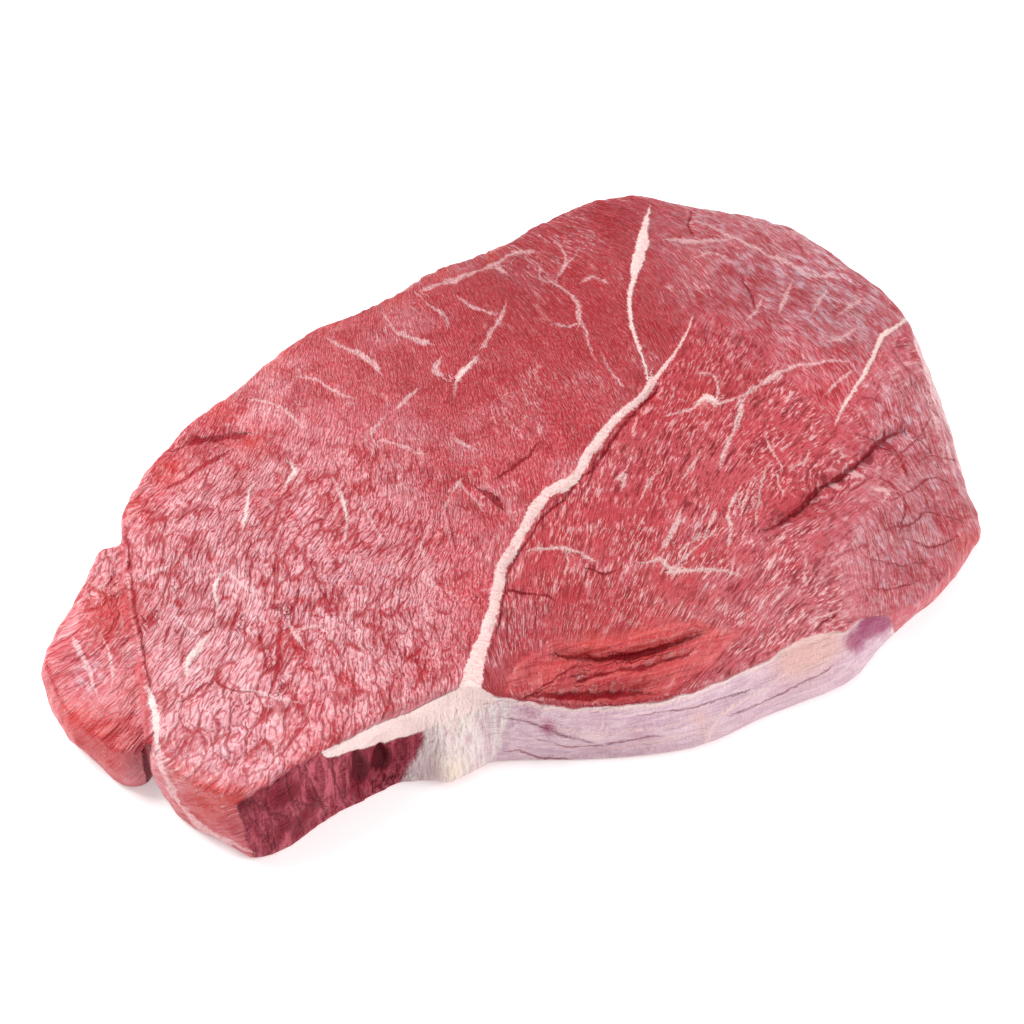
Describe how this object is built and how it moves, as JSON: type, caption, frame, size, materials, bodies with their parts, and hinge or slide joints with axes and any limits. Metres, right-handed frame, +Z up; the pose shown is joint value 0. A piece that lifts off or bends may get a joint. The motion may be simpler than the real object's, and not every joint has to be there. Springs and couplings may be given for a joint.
{
  "type": "raw top sirloin steak",
  "caption": "Thick raw top sirloin steak: a whole slice across the muscle with a branching fat seam, white fat and thin skin along its front side and a small flap at its left end.",
  "frame": {"origin": "middle of the steak's plan box, on the flat underside it lies on", "axes": "+X along the steak's long axis towards its thin pointed end, +Y across it away from the side with the fat and skin, +Z up through its thickness"},
  "size_m": [0.2402, 0.1596, 0.0256],
  "materials": {
    "meat": "moist raw beef, red lean with white fat seams and fine marbling, soft gloss"
  },
  "bodies": {
    "root": {"steak": "meat"}
  },
  "joints": []
}
